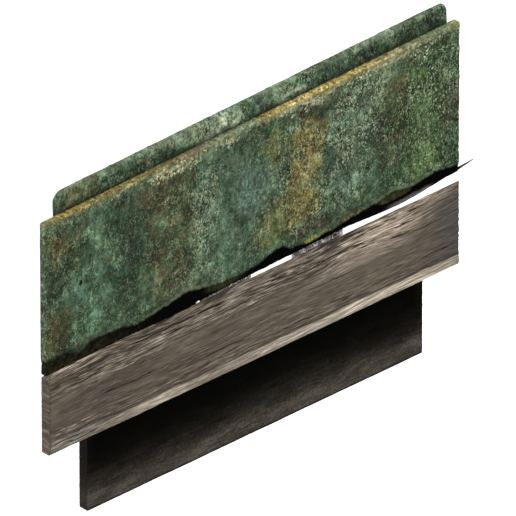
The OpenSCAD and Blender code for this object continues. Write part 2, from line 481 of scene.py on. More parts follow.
def panel_finish():
    """Green patina with teal, brown and ochre clouds, worn golden on the folded top edge."""
    f = Finish("patinated_sheet")
    along = f.x - PANEL_LEFT
    above = f.y - PANEL_FOOT - along * SLOPE
    below = PANEL_HEIGHT - above
    x = along + f.drift(110, 44, 1, 6, 0.68)
    y = above + f.drift(110, 44, 2, 6, 0.68)
    busy = blotches(x, y, [
        (620, 150, 60, 120), (935, 160, 90, 190, 0.75), (740, 200, 70, 120), (380, 170, 40, 90),
    ])
    calm = blotches(x, y, [(215, 150, 50, 170), (455, 150, 60, 120), (640, 278, 70, 26, 1.6)])
    pit_zone = f.noise(36, 3, 3).ease(0.44, 0.6) * 0.5 + busy * 0.35
    pit_zone = pit_zone + blotches(x, y, [(945, 170, 80, 190, 0.5)])
    patina = Patina(f, x, y, 100, PANEL_CLOUDS, busy, calm, pit_zone, 0.535)
    flecks = patina.flecks
    near_x = along + f.drift(56, 15, 27, 5, 0.68)
    near_y = above + f.drift(56, 15, 28, 5, 0.68)
    broken = f.noise(9, 29, 4, 0.7).ease(0.40, 0.56) * 0.62 + 0.38
    for tint, strength, ovals in PANEL_STAINS:
        mask = blotches(near_x, near_y, ovals, 0.7)
        f.coat(f.dapple(tint, flecks, 9.0, 0.88), mask * broken * strength)
    deep = blotches(along, above, [(84.7, 154, 3.4, 5.4)], 0.4)
    f.coat((22, 20, 12), deep)

    rust_zone = blotches(x, y, [
        (875, 95, 18, 12), (958, 110, 14, 10), (988, 150, 12, 14), (30, 250, 24, 22),
        (27, 68, 20, 22), (308, 262, 26, 14), (306, 60, 22, 12), (614, 160, 26, 50),
        (815, 200, 14, 10),
    ])
    rust = rust_zone * f.noise(6, 13, 4, 0.7).ease(0.52, 0.66)
    f.coat((104, 54, 34), rust * 0.62)

    # the worn fold, which comes unevenly down the face and ends in a line of pale crust
    reach = f.mark("fold_reach") + f.drift(9, (9, 9, 300), 14, 4, 0.7)
    crumbs = f.noise((4.5, 6, 5), 16, 3, 0.7)
    crusty = humps(along, [(305, 70), (440, 40, 0.7), (640, 90, 0.75), (850, 90, 0.5)])
    spill = (reach + 11 - below).ease(-7.0, 7.0) * crumbs.ease(0.42, 0.56) * (crusty * 0.75 + 0.12)
    f.coat(f.dapple((144, 147, 116), flecks, 7.0), spill)
    gaps = below.ease(30, 10) * f.noise((11, 14, 300), 18, 4, 0.7).ease(0.50, 0.41) * crusty
    f.coat((48, 50, 34), gaps * 0.6)
    haze = below.ease(60, 5) * f.noise(18, 18, 5, 0.7).ease(0.46, 0.66)
    f.coat(f.dapple((118, 128, 98), flecks, 7.0), haze * 0.4)
    soft = 4.5 - crusty * 3.2
    worn = ((reach - below + (flecks - 0.5) * 16) / soft).ease(-1.0, 1.0)
    tint = f.spread(along / PANEL_LENGTH, FOLD_TINTS)
    shine = f.noise((8, 8, 6), 20, 5, 0.75)
    golden = 1 - humps(along, [(380, 60), (470, 56), (930, 66)])
    tint = f.mix(tint, (190, 168, 90), shine.ease(0.53, 0.63) * golden * 0.42)
    tint = f.mix(tint, (84, 64, 36), shine.ease(0.48, 0.38) * 0.72)
    stain = f.noise((26, 26, 12), 25, 5, 0.68)
    tint = f.mix(tint, (96, 88, 58), stain.ease(0.50, 0.60) * 0.55)
    tint = f.mix(tint, (92, 104, 62), f.noise((16, 16, 9), 24, 4, 0.7).ease(0.54, 0.64) * 0.55)
    on_face = below.ease(1.0, 5.0)
    tint = f.mix(tint, (132, 138, 106), on_face * (crumbs.ease(0.40, 0.60) * 0.5 + 0.3))
    tint = f.dapple(tint, flecks, 6.0, 1.12 - on_face * 0.30)
    spots = f.cells((15, 15, 9), 23).ease(0.32, 0.18) * (1 - on_face * 0.6)
    tint = f.mix(tint, (92, 54, 28), spots * 0.8)
    f.coat(tint, worn * (0.94 - on_face * 0.2))
    f.coat((62, 56, 38), gaps * on_face * 0.62)
    crust = abs(below - reach).ease(3.2, 0.5) * crumbs.ease(0.40, 0.56) * (crusty * 0.85 + 0.05)
    crust = crust * f.noise((24, 24, 300), 17, 4, 0.7).ease(0.40, 0.54)
    f.coat((192, 194, 158), crust * on_face.most(0.3))
    wear = below.ease(3.0, 0.5) * golden

    # the torn lower edge: a pale rim of painted highlight here and there, painted shade elsewhere, darkest
    # right at the edge
    edge = f.mark("edge_distance")
    # a pale rim of painted highlight along the torn edge
    rim = edge.ease(12, 5) * humps(along, [(340, 140), (850, 110), (130, 70, 0.5)])
    f.coat((110, 124, 88), rim * crumbs.ease(0.3, 0.55) * 0.7)
    moss = blotches(along, edge, [(638, 4, 16, 8), (671, 3, 14, 6, 0.7)], 0.6)
    lichen = blotches(along, edge, [(742, 3, 60, 8)], 0.7) * crumbs.ease(0.46, 0.60) * 0.6
    f.coat(f.dapple((150, 142, 62), flecks, 6.0, 0.82), moss * crumbs.ease(0.38, 0.50) * 0.9)
    f.coat(f.dapple((140, 112, 62), flecks, 6.0, 0.85), lichen)
    yellow = moss.most(lichen)
    ragged = edge + (crumbs - 0.5) * 9
    # painted shade along the torn edge, stronger towards the left end and kept off the moss and lichen
    shade = ragged.ease(13, 1) * (along.ease(180, 60) * 0.6 + 0.35)
    f.coat((28, 32, 18), shade * (1 - yellow))
    # near-black painted shade right at the edge
    f.coat((14, 16, 9), ragged.ease(4.6, 0.8) * 0.92)

    height = patina.height - deep * 0.8 + crust * 0.3
    roughness = (0.88 - wear * 0.25) + (patina.mottle - 0.5) * 0.25
    return f.surface(roughness, height, 1.6, metallic=wear * 0.2, specular=0.2)


# clouds on the roll: tint, strength, ovals as (centre, half sizes) from the panel's upper left corner
ROLL_CLOUDS = [
    ((96, 84, 50), 0.80, [(92, 22, 44, 40), (375, 24, 28, 14), (255, 14, 30, 10), (300, 34, 30, 8)]),
    ((42, 70, 56), 0.85, [
        (190, 8, 54, 16), (520, 18, 32, 28), (705, 12, 110, 18), (945, 10, 40, 30),
        (636, 30, 28, 14), (250, 2, 60, 10),
    ]),
    ((140, 158, 132), 0.70, [(250, 32, 90, 10), (330, 28, 60, 12), (560, 26, 40, 16), (800, 34, 120, 8)]),
    ((196, 208, 176), 0.92, [(436, 18, 42, 20), (405, 8, 28, 12), (612, 8, 28, 10)]),
    ((136, 176, 158), 0.60, [(718, 26, 18, 8)]),
]


def roll_finish():
    """The same patina, with a painted highlight along the top and painted shade where it meets the panel."""
    f = Finish("patinated_roll")
    along = f.x - PANEL_LEFT
    above = f.y - PANEL_FOOT - PANEL_HEIGHT - along * SLOPE
    x = along + f.drift(70, 30, 31, 5, 0.65)
    y = above + f.drift(30, 24, 32, 5, 0.65)
    busy = blotches(x, y, [(430, 20, 60, 24), (610, 20, 50, 24)])
    calm = blotches(x, y, [(80, 22, 60, 30, 0.5)])
    pit_zone = f.noise(30, 33, 3).ease(0.44, 0.6)
    patina = Patina(f, x, y, 140, ROLL_CLOUDS, busy, calm, pit_zone, 0.49, 1.4)
    # a painted highlight along the rounded top, where it catches the light from above
    lit_top = above.ease(ROLL_UPSTAND - 11, ROLL_UPSTAND - 2)
    top_highlight_share = lit_top * (patina.flecks.ease(0.4, 0.56) * 0.22 + 0.03)
    f.coat((126, 140, 114), top_highlight_share)
    # painted shade where the roll meets the panel's top edge
    foot = (above + f.drift(14, 18, 34, 4)).ease(16, -3)
    f.coat((20, 25, 16), foot * 0.85)
    roughness = 0.88 + (patina.mottle - 0.5) * 0.2
    return f.surface(roughness, patina.height, 1.5, specular=0.2)


# tints of the face board: tint, strength, ovals from its lower left corner
FACE_CLOUDS = [
    ((152, 138, 124), 0.72, [(800, 138, 110, 32), (890, 158, 100, 16)]),
    ((174, 159, 142), 0.62, [(756, 152, 60, 12), (40, 164, 50, 8)]),
    ((118, 109, 98), 0.50, [(240, 138, 150, 16), (560, 150, 220, 22), (420, 128, 70, 12)]),
    ((136, 124, 112), 0.55, [(745, 100, 110, 18)]),
    ((72, 65, 58), 0.60, [(140, 84, 110, 24), (90, 42, 120, 20), (330, 66, 60, 12)]),
    ((68, 66, 66), 0.66, [(985, 78, 52, 74), (955, 30, 60, 20)]),
    ((134, 131, 126), 0.60, [(34, 10, 70, 10), (64, 24, 60, 5)]),
]


def face_board_finish():
    """Silvered brown softwood with open grain and a pale strip of painted highlight along its lower edge."""
    f = Finish("weathered_timber")
    along = f.x - FACE_LOW[0]
    above = f.y - FACE_LOW[1]
    top = FACE_HIGH[1] - FACE_LOW[1]
    x = along + f.drift(170, (150, 11, 11), 41, 4, 0.62)
    y = above + f.drift(44, (150, 18, 18), 42, 4, 0.62)
    # the grain wanders up and down, and flows round a knot that is hidden at the right
    knot = blotches(along, above, [(800, 118, 110, 50)], 0.95)
    sway = f.drift(26, (260, 90, 90), 43, 2)
    f.bend(f.y + sway + knot * (along - 790) * 0.10)
    coarse = f.noise((200, 8, 8), 45, 3, 0.6)
    fine = f.noise((90, 3.4, 3.4), 46, 3, 0.7)
    hairs = f.noise((34, 2.3, 2.3), 47, 2, 0.6)
    flow = f.noise((70, 12, 12), 44, 5, 0.7)
    grain = coarse * 0.12 + fine * 0.34 + hairs * 0.46 + flow * 0.08

    f.colour = f.spread(f.noise((90, 26, 26), 48, 4), [
        (0.38, (87, 79, 69)), (0.52, (94, 85, 74)), (0.64, (101, 92, 80)),
    ])
    for tint, strength, ovals in FACE_CLOUDS:
        f.coat(tint, blotches(x, y, ovals, 0.9) * strength)

    rough = f.noise((120, 30, 30), 49, 3).ease(0.42, 0.60)
    rough = (rough * 0.36).most(above.ease(top - 76, top - 38) * 0.92).most(above.ease(58, 34) * 0.5)
    rough = rough * (1 - blotches(along, above, [(1000, 76, 120, 90, 0.85)], 0.9))
    bright_zone = blotches(x, y, [(800, 138, 110, 40), (890, 158, 110, 20)])
    f.colour = f.dapple(f.colour, grain, 3.6 + rough * 8.8 - bright_zone * 2.4, 1.02)

    # short open checks with silvered fibres beside them, and a few long ones
    splits = f.noise((52, 5, 5), 50, 2, 0.5)
    long_splits = f.noise((190, 7, 7), 51, 2, 0.5)
    torn = (rough * 0.9 + bright_zone * 0.5).least(1.0)
    checks = splits.ease(0.395, 0.345) * torn
    checks = checks.most(long_splits.ease(0.35, 0.31) * (rough * 0.6 + 0.35))
    hair_lines = f.threads((170, 9, 9), 52, 0.055) * f.noise((90, 14, 14), 53, 3).ease(0.47, 0.56)
    checks = checks.most(hair_lines * (rough * 0.65 + 0.2))
    silver = splits.ease(0.58, 0.66) * torn * (1 - bright_zone * 0.6)
    silver = silver * hairs.ease(0.36, 0.56)
    f.coat((162, 150, 134), silver * 0.62)
    f.coat((32, 27, 22), checks * 0.9)

    # a pale strip along the lower edge, a painted highlight of its lower arris, with dark lines in it and a
    # dark band above it
    strip_y = above + f.drift(10, (90, 9, 9), 54, 4)
    strength = along.ease(-60, 330).most(0.35)
    bright = humps(along, [(800, 230), (260, 80), (560, 70, 0.6)])
    strip = strip_y.ease(23, 16) * strength
    pale = f.mix((142, 133, 120), (190, 178, 160), bright * 0.85)
    pale = f.dapple(pale, fine * 0.5 + hairs * 0.5, 5.2)
    f.coat(pale, strip * 0.94)
    line = f.threads((120, 5, 5), 55, 0.06) * strip_y.ease(20, 14)
    f.coat((74, 66, 57), line * 0.5)
    under = strip_y.ease(29, 23) * strip_y.ease(17, 22) * strength
    f.coat((52, 46, 40), under * 0.45)

    crack = f.mark("crack")
    f.coat((14, 12, 10), crack * 0.95)
    f.coat((186, 173, 154), f.mark("flake") * fine.ease(0.38, 0.56) * 0.7)
    rings = f.noise((3, 5, 34), 56, 4, 0.7)
    f.coat(f.dapple((66, 59, 50), rings, 6.0), f.mark("end_grain") * 0.85)
    height = coarse * 0.5 + fine * 0.4 + hairs * 0.2 - crack * 0.6 - checks * 0.4
    return f.surface(0.9 + (fine - 0.5) * 0.12, height, 1.5, specular=0.15)


def lower_board_finish():
    """Dark stained board, darkened with painted shade under the board above and browner at its foot."""
    f = Finish("stained_timber")
    above = f.y - LOWER_LOW[1]
    along = f.x - LOWER_LOW[0]
    length = LOWER_HIGH[0] - LOWER_LOW[0]
    f.bend(f.y + f.drift(36, (150, 50, 50), 60, 3))
    coarse = f.noise((90, 6, 6), 61, 5, 0.66)
    fine = f.noise((34, 2.4, 2.4), 62, 4, 0.72)
    grit = f.noise(4.0, 67, 3, 0.7)
    f.colour = f.mix((62, 57, 51), (78, 73, 66), f.noise((120, 40, 40), 63, 4).ease(0.42, 0.6))
    f.coat((80, 62, 52), f.noise((30, 12, 12), 64, 4).ease(0.56, 0.7) * 0.3)
    f.colour = f.dapple(f.colour, coarse * 0.2 + fine * 0.4 + grit * 0.4, 6.0, 0.94)
    # painted shade cast by the board above fades over the height of the board, a little less at both ends
    shade_y = above + f.drift(30, (100, 34, 34), 65, 4)
    ends = along.ease(0, 22) * along.ease(length, length - 26)
    painted_shade = 1 - math.e ** ((26 - shade_y) / 21).least(0)
    f.coat((2, 2, 1), painted_shade * (ends * 0.035 + 0.965))
    foot = (above + f.drift(6, (26, 6, 6), 66, 4)).ease(5, 1)
    f.coat((26, 23, 20), foot * 0.6)
    cut_end = along.ease(0.2, -0.8).most(along.ease(length - 0.2, length + 0.8))
    f.coat((24, 21, 18), cut_end * 0.72)
    return f.surface(0.95 + (fine - 0.5) * 0.1, coarse * 0.6 + fine * 0.5, 1.0, specular=0.03)


def crust_finish():
    """Chalky crust, cream to grey green."""
    f = Finish("pale_crust")
    tone = f.noise(4.5, 91, 4, 0.7)
    f.colour = f.spread(f.noise(26, 92, 3), [
        (0.42, (152, 148, 112)), (0.50, (170, 170, 138)), (0.58, (132, 152, 122)),
    ])
    f.colour = f.dapple(f.colour, tone, 5.0, 0.86)
    return f.surface(0.92, tone, 0.6, specular=0.15)


def backing_finish():
    """Rotten timber painted near black, its own dark colour with painted shade under the sheet, rusty olive
    at its left, grey on the splinter.
    """
    f = Finish("dark_timber")
    along = f.x - PANEL_LEFT
    above = f.y - PANEL_FOOT - along * SLOPE
    coarse = f.noise((30, 4, 4), 71, 5, 0.66)
    fine = f.noise((12, 2.4, 2.4), 72, 4, 0.7)
    # near black: the timber's own dark colour with painted shade from the sheet over it
    f.colour = f.spread(coarse * 0.5 + fine * 0.5, [
        (0.46, (1, 1, 1)), (0.62, (4, 4, 3)), (0.74, (16, 15, 11)),
    ])
    x = along + f.drift(60, 34, 73, 4)
    crumbs = f.noise(8, 74, 5, 0.7)
    scale = x.ease(290, 40) * 0.9
    chips = blotches(x, above, [(845, 14, 42, 10)], 0.4)
    chips = chips.most(blotches(x, above, [(435, 12, 44, 14, 0.8)], 0.7))
    rusty = f.spread(crumbs, [
        (0.36, (12, 11, 6)), (0.50, (28, 27, 15)), (0.62, (46, 42, 23)), (0.72, (78, 54, 32)),
    ])
    f.coat(rusty, scale * crumbs.ease(0.3, 0.5))
    f.coat(f.dapple((50, 52, 30), crumbs, 5.0), chips * 0.8)
    grey = f.spread(fine * 0.6 + coarse * 0.4, [
        (0.36, (62, 59, 56)), (0.50, (84, 80, 76)), (0.64, (108, 103, 97)),
    ])
    f.coat(grey, f.mark("splinter"))
    return f.surface(0.95, coarse * 0.8 + fine * 0.6, 1.2, specular=0.04)


def bearer_finish():
    """Rough sawn grey timber scored with dark scratches."""
    f = Finish("grey_timber")
    tone = f.noise((8, 18, 12), 81, 5, 0.7)
    f.colour = f.spread(tone, [
        (0.36, (90, 88, 86)), (0.50, (155, 150, 146)), (0.62, (210, 206, 200)),
    ])
    scratch = f.threads((15, 9, 9), 82, 0.05, 1.5).most(f.threads((8, 16, 9), 83, 0.03, 1.0))
    f.coat((10, 9, 9), scratch * 0.92)
    height = tone * 0.6 - scratch * 0.5
    return f.surface(0.94, height, 1.0, specular=0.1)


# ---------------------------------------------------------------- panel and roll
# turns of the sheet's torn lower edge: (share of the length, share of the deepest loss)
EDGE_LOSS = 26.0
LOSSES = [
    (0, 0.9), (0.05, 0.95), (0.08, 0.4), (0.11, 0.95), (0.18, 0.8), (0.22, 0.4), (0.26, 0.6),
    (0.34, 1), (0.4, 0.5), (0.46, 0.3), (0.51, 0.4), (0.55, 0.85), (0.57, 0.85), (0.59, 0.4),
    (0.64, 0.1), (0.67, 0.25), (0.69, 0.2), (0.75, 0.5), (0.8, 0.6), (0.84, 0.8), (0.88, 0.5),
    (0.94, 0.75), (1, 0.4),
]


def eaten(along):
    """Height of the sheet's ragged edge above the panel's straight lower line."""
    places, losses = np.array(LOSSES).T
    smooth = EDGE_LOSS * np.interp(along, places * PANEL_LENGTH, losses)
    rags = 1.7 * relief(along, 0.5, 12, 3)
    nibbles = 0.9 * ripple(along / 6.3, 9.5, 5)
    least_loss = 1.5
    return np.maximum(smooth + rags + nibbles, least_loss)


def crusted(x, y, seed):
    """Relief of the corroded sheet in millimetres: blisters, scabs and pits."""
    blister = relief(x, y, 34, seed, 3) * 0.55
    scab = np.maximum(relief(x, y, 13, seed + 10, 4), 0) ** 1.5 * 0.9
    pitted = relief(x, y, 7.5, seed + 20, 3)
    pits = ease(pitted, 0.42, 0.85) * (0.5 + 0.5 * ease(relief(x, y, 90, seed + 30, 2), -0.3, 0.5))
    return blister + scab - 1.1 * pits


# where crumbs of crust lie thickest: distance from the left end and half width there,
# the band they lie in as a depth below the top edge and half that band's height, and how thick they lie
CRUMB_FIELDS = [
    (305, 55, 15, 12, 1.0), (345, 40, 20, 9, 0.8), (418, 26, 12, 8, 0.8), (440, 30, 18, 10, 0.4),
    (585, 30, 9, 9, 0.8), (610, 26, 26, 12, 0.35), (655, 22, 15, 9, 1.0), (770, 60, 14, 8, 0.5),
    (842, 34, 16, 7, 0.6), (905, 30, 22, 16, 0.3),
]


def crumb_share(along, below, reach):
    """How thickly crumbs of crust lie at each point of the sheet, from 0 to 1."""
    along_fold = 0.12
    share = along_fold * ease(np.abs(below - reach), 5, 1)
    for at, half_width, depth, half_depth, thickly in CRUMB_FIELDS:
        away = ((along - at) / half_width) ** 2 + ((below - depth) / half_depth) ** 2
        share = np.maximum(share, thickly * ease(away, 1.4, 0.2))
    clumped = ease(relief(along, below, 9, 340, 3), -0.25, 0.35)
    return share * clumped * ease(below, 1, 4)


def make_panel():
    """The folded sheet: front, top edge and both ends, open behind and below."""
    radius = 2.2
    width, height, depth = PANEL_LENGTH, PANEL_HEIGHT, PANEL_FRONT - PANEL_BACK
    xs = lines(0, width, 2.9, radius)
    # the lowest rows lie close together along the torn edge
    ys = np.concatenate([
        [0, 0.8, 1.8], np.linspace(3.2, height - radius, 100), height - radius * EDGE_SHARES[::-1],
    ])
    zs = np.concatenate([np.linspace(0, depth - radius, 6), depth - radius * EDGE_SHARES[::-1]])
    # the box reaches far past the two open sides, so that it isn't rounded there
    low = (0, -99, -99)
    points, out, quads = shell(xs, ys, zs, low, (width, height, depth), radius, ("back", "bottom"))
    x, y, z = points.T
    rise = crusted(x + 0.8 * z, y - 0.9 * z, 100)
    # a lip of crust under the worn fold, and a torn edge that thins out below
    fold_reach = np.interp(x, *np.array(FOLD_REACH, float).T)
    fold = height - fold_reach
    lip, lip_width, thinned = 0.9, 2.6, 0.9
    rise = rise + lip * np.exp(-((y - fold) / lip_width) ** 2)
    rise = rise * np.where(y > fold + 2, 0.45, 1.0) * ease(z, -4, 4)
    torn = ease(y, 9, 0)
    rise = rise * (1 - torn) - thinned * torn
    points = points + out * np.clip(rise - 0.2, -1.4, 1.2)[:, None]
    # the front's rows close up above the ragged edge
    foot = eaten(np.clip(x, 0, width))
    share = 1 - points[:, 1] / height
    points[:, 1] += foot * share + SLOPE * points[:, 0]
    closed_up = 1 - foot / height
    edge_distance = y * closed_up
    below = (height - y) * closed_up
    crumbs = crumb_share(x, below, fold_reach) * (z > depth - 2)
    points += (PANEL_LEFT, PANEL_FOOT, PANEL_BACK)
    marks = {"edge_distance": edge_distance, "fold_reach": fold_reach, "crumb_share": crumbs}
    made = piece("patinated_panel", points, quads, panel_finish(), "copper_face", marks)
    gauge = made.modifiers.new("gauge", "SOLIDIFY")
    gauge.thickness = SHEET_GAUGE * 0.5 * MM
    gauge.offset = -1
    return made


# the scatter's named inputs and their values, with lengths in metres
CRUMB_SIZES = {
    "Crumb radius": 3.4 * MM, "Crumbs per square metre": 90000.0, "Lumpiness": 2.2 * MM, "Seed": 11,
}


def crumb_tree(finish):
    """Geometry nodes that scatter crumbs of crust over a surface, as thickly as its crumb_share says."""
    tree = bpy.data.node_groups.new("scattered_crumbs", "GeometryNodeTree")
    tree.interface.new_socket("Surface", in_out="INPUT", socket_type="NodeSocketGeometry")
    for name, value in CRUMB_SIZES.items():
        kind = "NodeSocketInt" if isinstance(value, int) else "NodeSocketFloat"
        tree.interface.new_socket(name, in_out="INPUT", socket_type=kind)
    tree.interface.new_socket("Crumbs", in_out="OUTPUT", socket_type="NodeSocketGeometry")
    node = functools.partial(wire, tree)
    given = node("NodeGroupInput").outputs
    dents_per_metre = 380.0
    multiply, vector = {"operation": "MULTIPLY"}, {"data_type": "FLOAT_VECTOR"}

    share = node("GeometryNodeInputNamedAttribute", {"data_type": "FLOAT"}, {"Name": "crumb_share"})
    density = node("ShaderNodeMath", multiply, {0: share, 1: given["Crumbs per square metre"]})
    spots = node("GeometryNodeDistributePointsOnFaces", {"distribute_method": "RANDOM"}, {
        "Mesh": given["Surface"], "Density": density, "Seed": given["Seed"],
    })
    # flat lumps of every size, turned any way on the surface
    size = node("FunctionNodeRandomValue", vector, {
        0: (0.30, 0.30, 0.16), 1: (1.25, 1.0, 0.42), "Seed": given["Seed"],
    })
    turn = node("FunctionNodeRandomValue", vector, {
        0: (-0.2, -0.2, 0.0), 1: (0.2, 0.2, math.tau), "Seed": given["Seed"],
    })
    turned = node("FunctionNodeRotateRotation", {"rotation_space": "LOCAL"}, {
        "Rotation": spots.outputs["Rotation"], "Rotate By": turn,
    })
    lump = node("GeometryNodeMeshIcoSphere", None, {"Radius": given["Crumb radius"], "Subdivisions": 2})
    laid = node("GeometryNodeInstanceOnPoints", None, {
        "Points": spots.outputs["Points"], "Instance": lump, "Rotation": turned, "Scale": size,
    })
    joined = node("GeometryNodeRealizeInstances", None, {0: laid})
    # every lump is knocked out of round
    dents = node("ShaderNodeTexNoise", None, {"Scale": dents_per_metre, "Detail": 2.0}).outputs["Fac"]
    around = node("ShaderNodeMath", {"operation": "SUBTRACT"}, {0: dents, 1: 0.5})
    depth = node("ShaderNodeMath", multiply, {0: around, 1: given["Lumpiness"]})
    normal = node("GeometryNodeInputNormal")
    push = node("ShaderNodeVectorMath", {"operation": "SCALE"}, {0: normal, "Scale": depth})
    dented = node("GeometryNodeSetPosition", None, {0: joined, "Offset": push})
    smooth = node("GeometryNodeSetShadeSmooth", None, {0: dented})
    coated = node("GeometryNodeSetMaterial", None, {0: smooth, "Material": finish})
    node("NodeGroupOutput", None, {"Crumbs": coated})
    return tree


def make_crust(panel):
    """Crumbs of crust along the worn fold of the panel and in the thick patches under it."""
    finish = crust_finish()
    surface = placed("crust_surface", panel.data)
    scatter = surface.modifiers.new("scatter", "NODES")
    scatter.node_group = crumb_tree(finish)
    for socket in scatter.node_group.interface.items_tree:
        if socket.name in CRUMB_SIZES:
            scatter[socket.identifier] = CRUMB_SIZES[socket.name]
    evaluated = surface.evaluated_get(bpy.context.evaluated_depsgraph_get())
    mesh = bpy.data.meshes.new_from_object(evaluated)
    bpy.data.objects.remove(surface)
    mesh.materials.clear()
    mesh.materials.append(finish)
    mesh.polygons.foreach_set("material_index", [0] * len(mesh.polygons))
    made = placed("scattered_crust", mesh)
    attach(made, "root")
    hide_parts("copper_face")
    return made


def make_roll():
    """The upstanding roll: round along its top, with worn corners and slightly bulging ends."""
    length = PANEL_LENGTH - sum(ROLL_INSET)
    tall = ROLL_LAP + ROLL_UPSTAND
    thick = ROLL_HIGH[2] - ROLL_LOW[2]
    radius = thick / 2 - 0.3
    end_radius = 2.0
    xs = lines(0, length, 2.4, end_radius)
    ys = lines(0, tall, 2.4, radius)
    zs = lines(0, thick, 2.4, radius)
    x, y, z, quads = skin(xs, ys, zs)
    section, around = rounded(np.stack([y, z], 1), (0, 0), (tall, thick), radius)
    on_cap = (x == 0) | (x == length)
    rim = (np.linalg.norm(around, axis=1) > 0.5) & on_cap
    from_end = np.clip(np.minimum(x, length - x), 0, end_radius)
    shrink = end_radius - np.sqrt(end_radius**2 - (end_radius - from_end) ** 2)
    section = section - around * shrink[:, None]
    points = np.column_stack([x, section])
    out = np.column_stack([np.sign(x - length / 2) * (on_cap & ~rim), around])
    x, y, z = points.T
    rise = crusted(x + 0.8 * z, y - 0.9 * z, 200) * 0.8
    points = points + out * np.clip(rise - 0.1, -1.2, 0.8)[:, None]
    # the corners of both ends are worn round, and the ends bulge
    x, y, z = points.T
    left, right = ROLL_CORNERS
    from_left = np.clip((left - x) / left, 0, 1)
    from_right = np.clip((x - (length - right)) / right, 0, 1)
    # just short of a quarter circle, whose last point would be upright
    arc = 0.98
    droop = left * (1 - np.sqrt(1 - arc * from_left**2)) + right * (1 - np.sqrt(1 - arc * from_right**2))
    bulge = ROLL_BULGE * np.clip(1 - ((y - ROLL_LAP) / ROLL_UPSTAND * 1.6 - 0.5) ** 2, 0, 1)
    y *= 1 - droop * ease(y, 0.3 * tall, tall) / tall
    x += bulge * (ease(x, length - 30, length) - ease(x, 30, 0))
    angle = math.atan(SLOPE)
    turned_x = x * math.cos(angle) - y * math.sin(angle)
    turned_y = x * math.sin(angle) + y * math.cos(angle)
    points = np.stack([turned_x, turned_y, z], 1)
    start = PANEL_LEFT + ROLL_INSET[0]
    base = PANEL_FOOT + PANEL_HEIGHT + SLOPE * ROLL_INSET[0] - ROLL_LAP
    points += (start, base, ROLL_LOW[2])
    return piece("patinated_roll", points, quads, roll_finish(), "edge_roll")


# ---------------------------------------------------------------- boards
# cracks in the face board: left end, right end, height above the lower edge, width, depth
CRACKS = [
    (200, 352, 148, 1.6, 3.0), (356, 420, 147, 1.9, 3.4), (250, 300, 166, 1.0, 1.8),
    (530, 580, 142, 1.7, 3.2), (452, 500, 126, 1.3, 2.2), (470, 515, 112, 1.2, 2.2),
    (98, 120, 107, 1.9, 3.6), (212, 262, 101, 1.1, 2.0), (560, 640, 33, 1.1, 2.0),
    (0, 92, 17, 1.2, 2.2), (20, 120, 9, 1.0, 1.8), (700, 770, 160, 1.4, 2.6),
    (800, 905, 156, 1.2, 2.2), (640, 720, 137, 1.1, 2.0), (40, 130, 122, 0.9, 1.5),
    (735, 790, 124, 1.0, 1.8), (330, 470, 52, 0.8, 1.2), (860, 960, 108, 0.8, 1.4),
    (120, 260, 74, 0.8, 1.2), (620, 760, 88, 0.8, 1.2), (900, 985, 46, 0.9, 1.4),
]
# places where the surface lifts in flakes: centre, half sizes
FLAKES = [
    (485, 118, 32, 9), (565, 146, 26, 6), (775, 128, 40, 8), (180, 113, 40, 5),
    (60, 38, 60, 6), (840, 160, 80, 8), (250, 108, 24, 4),
]


def grained(x, y, seed, depth):
    """Relief of weathered wood in millimetres, with its grain along x."""
    sway = 5 * relief(x, y, 60, seed, 2, stretch=6)
    coarse = relief(x, y + sway, 7, seed + 10, 4, stretch=22)
    fine = relief(x, y + sway, 2.6, seed + 20, 2, stretch=26)
    return depth * (0.5 * coarse + 0.3 * fine - 0.5 * ease(np.abs(coarse), 0.25, 0.0))


def cracked(x, y):
    """How far into a crack each point of the face board is, and the cracks' depth there."""
    inside, deep = np.zeros_like(x), np.zeros_like(x)
    for number, (left, right, height, width, depth) in enumerate(CRACKS):
        path = height + 2.2 * ripple(x / 38, number + 0.5, 300) + 0.7 * ripple(x / 9, number + 0.5, 301)
        taper = np.sqrt(ease(x, left, left + 14) * ease(x, right, right - 14))
        here = ease(np.abs(y - path) / np.maximum(width * taper, 0.01), 1.3, 0.65) * (taper > 0.05)
        inside = np.maximum(inside, here)
        deep = np.maximum(deep, here * depth)
    return inside, deep


def flaked(x, y):
    """How far each point of the face board is lifted in a flake, from 0 to 1."""
    lifted = np.zeros_like(x)
    for at_x, at_y, half_x, half_y in FLAKES:
        away = ((x - at_x) / half_x) ** 2 + ((y - at_y) / half_y) ** 2
        lifted = np.maximum(lifted, ease(away, 1.3, 0.3))
    return lifted * ease(relief(x, y, 5, 320, 3, stretch=6), -0.1, 0.35)


def make_face_board():
    """The face board, bevelled to the back along its top."""
    length, height, depth = FACE_HIGH - FACE_LOW
    points, out, quads = board((length, height, depth), (3.8, 1.3, 4), 1.0)
    x, y, z = points.T
    front = ease(z, depth - 3, depth - 0.5)
    inside, deep = cracked(x, y)
    lifted = flaked(x, y)
    rise = grained(x, y + 0.9 * z, 400, 0.75) + 0.1 - deep * front + 0.9 * lifted * front
    rise = rise + 0.5 * ease(y, 15, 11) * ease(x, 60, 330) * front
    worn_ends = ease(np.minimum(x, length - x), 3, 0)
    rise = rise + worn_ends * 0.6 * relief(z, y, 3, 420, 3)
    rise = np.where(out[:, 2] < -0.5, np.minimum(rise, 0), rise)
    rise = np.clip(rise, -4.2, 1.0) + 1.2 * (out[:, 0] < -0.5)
    points = points + out * rise[:, None]
    # the top leans back at 45 degrees behind its front arris
    x, y, z = points.T
    bevel_rows = 60
    y -= (depth - z) * ease(y, height - bevel_rows, height) * (y > 0)
    points += FACE_LOW
    marks = {"crack": inside * front, "flake": lifted * front, "end_grain": worn_ends}
    return piece("weathered_face_board", points, quads, face_board_finish(),
                 "face_board", marks)


